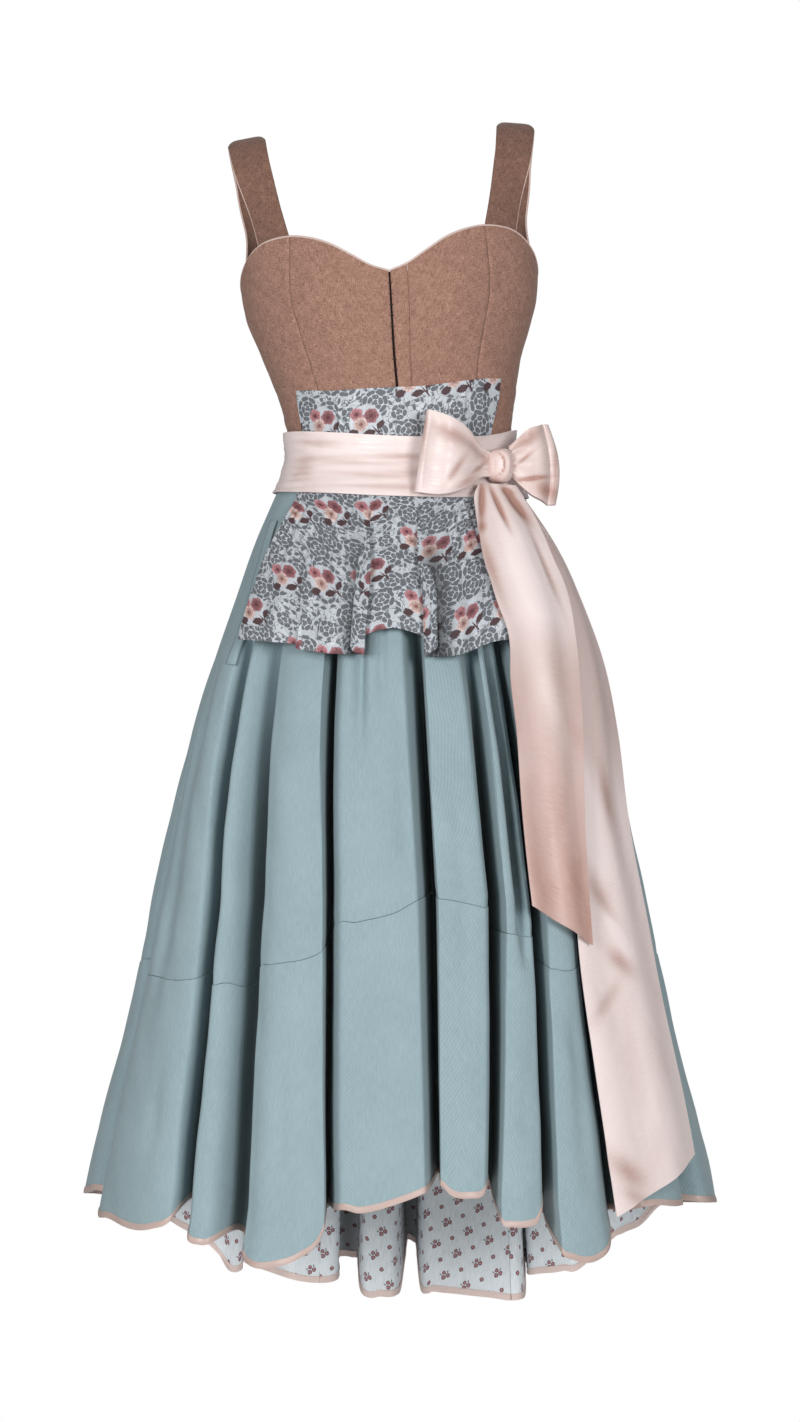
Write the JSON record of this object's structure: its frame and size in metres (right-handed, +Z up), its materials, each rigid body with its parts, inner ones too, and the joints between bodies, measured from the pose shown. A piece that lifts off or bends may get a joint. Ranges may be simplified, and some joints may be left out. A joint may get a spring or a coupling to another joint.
{
  "type": "dirndl dress with apron",
  "caption": "Worn-shape dirndl: strapped princess bodice, flared folded skirt, long sash with side bow over a short floral apron",
  "frame": {"origin": "midway between the tops of the two shoulder straps, where the wearer's shoulders hold the dress", "axes": "+Z up, -Y to the front of the dress, +X to the wearer's left"},
  "size_m": [0.7032, 0.6144, 1.358],
  "materials": {
    "rose_wool": "felted melange wool",
    "teal_wool": "soft wool twill",
    "pink_satin": "creased satin",
    "print_cotton": "printed cotton",
    "apron_jacquard": "flowered jacquard"
  },
  "bodies": {
    "root": {"bodice_front_right": "rose_wool", "bodice_button_stand": "rose_wool", "bodice_front_left": "rose_wool", "bodice_side_front_right": "rose_wool", "bodice_side_front_left": "rose_wool", "bodice_side_back_right": "rose_wool", "bodice_side_back_left": "rose_wool", "bodice_back": "rose_wool", "strap_front_right": "rose_wool", "strap_back_right": "rose_wool", "strap_front_left": "rose_wool", "strap_back_left": "rose_wool", "piping_neck": "pink_satin", "piping_armhole_right": "pink_satin", "piping_armhole_left": "pink_satin", "piping_back": "pink_satin", "sash_band": "pink_satin", "bow_loop_front": "pink_satin", "bow_loop_side": "pink_satin", "bow_knot": "pink_satin", "tail_short": "pink_satin", "tail_long": "pink_satin", "skirt_gore_1": "teal_wool", "skirt_hem_band_1": "teal_wool", "hem_facing_1": "print_cotton", "hem_binding_1": "pink_satin", "skirt_gore_2": "teal_wool", "skirt_hem_band_2": "teal_wool", "hem_facing_2": "print_cotton", "hem_binding_2": "pink_satin", "skirt_gore_3": "teal_wool", "skirt_hem_band_3": "teal_wool", "hem_facing_3": "print_cotton", "hem_binding_3": "pink_satin", "skirt_gore_4": "teal_wool", "skirt_hem_band_4": "teal_wool", "hem_facing_4": "print_cotton", "hem_binding_4": "pink_satin", "skirt_gore_5": "teal_wool", "skirt_hem_band_5": "teal_wool", "hem_facing_5": "print_cotton", "hem_binding_5": "pink_satin", "skirt_gore_6": "teal_wool", "skirt_hem_band_6": "teal_wool", "hem_facing_6": "print_cotton", "hem_binding_6": "pink_satin", "skirt_gore_7": "teal_wool", "skirt_hem_band_7": "teal_wool", "hem_facing_7": "print_cotton", "hem_binding_7": "pink_satin", "skirt_gore_8": "teal_wool", "skirt_hem_band_8": "teal_wool", "hem_facing_8": "print_cotton", "hem_binding_8": "pink_satin", "pocket_welt": "teal_wool", "apron_upper": "apron_jacquard", "apron_skirt": "apron_jacquard"}
  },
  "joints": []
}
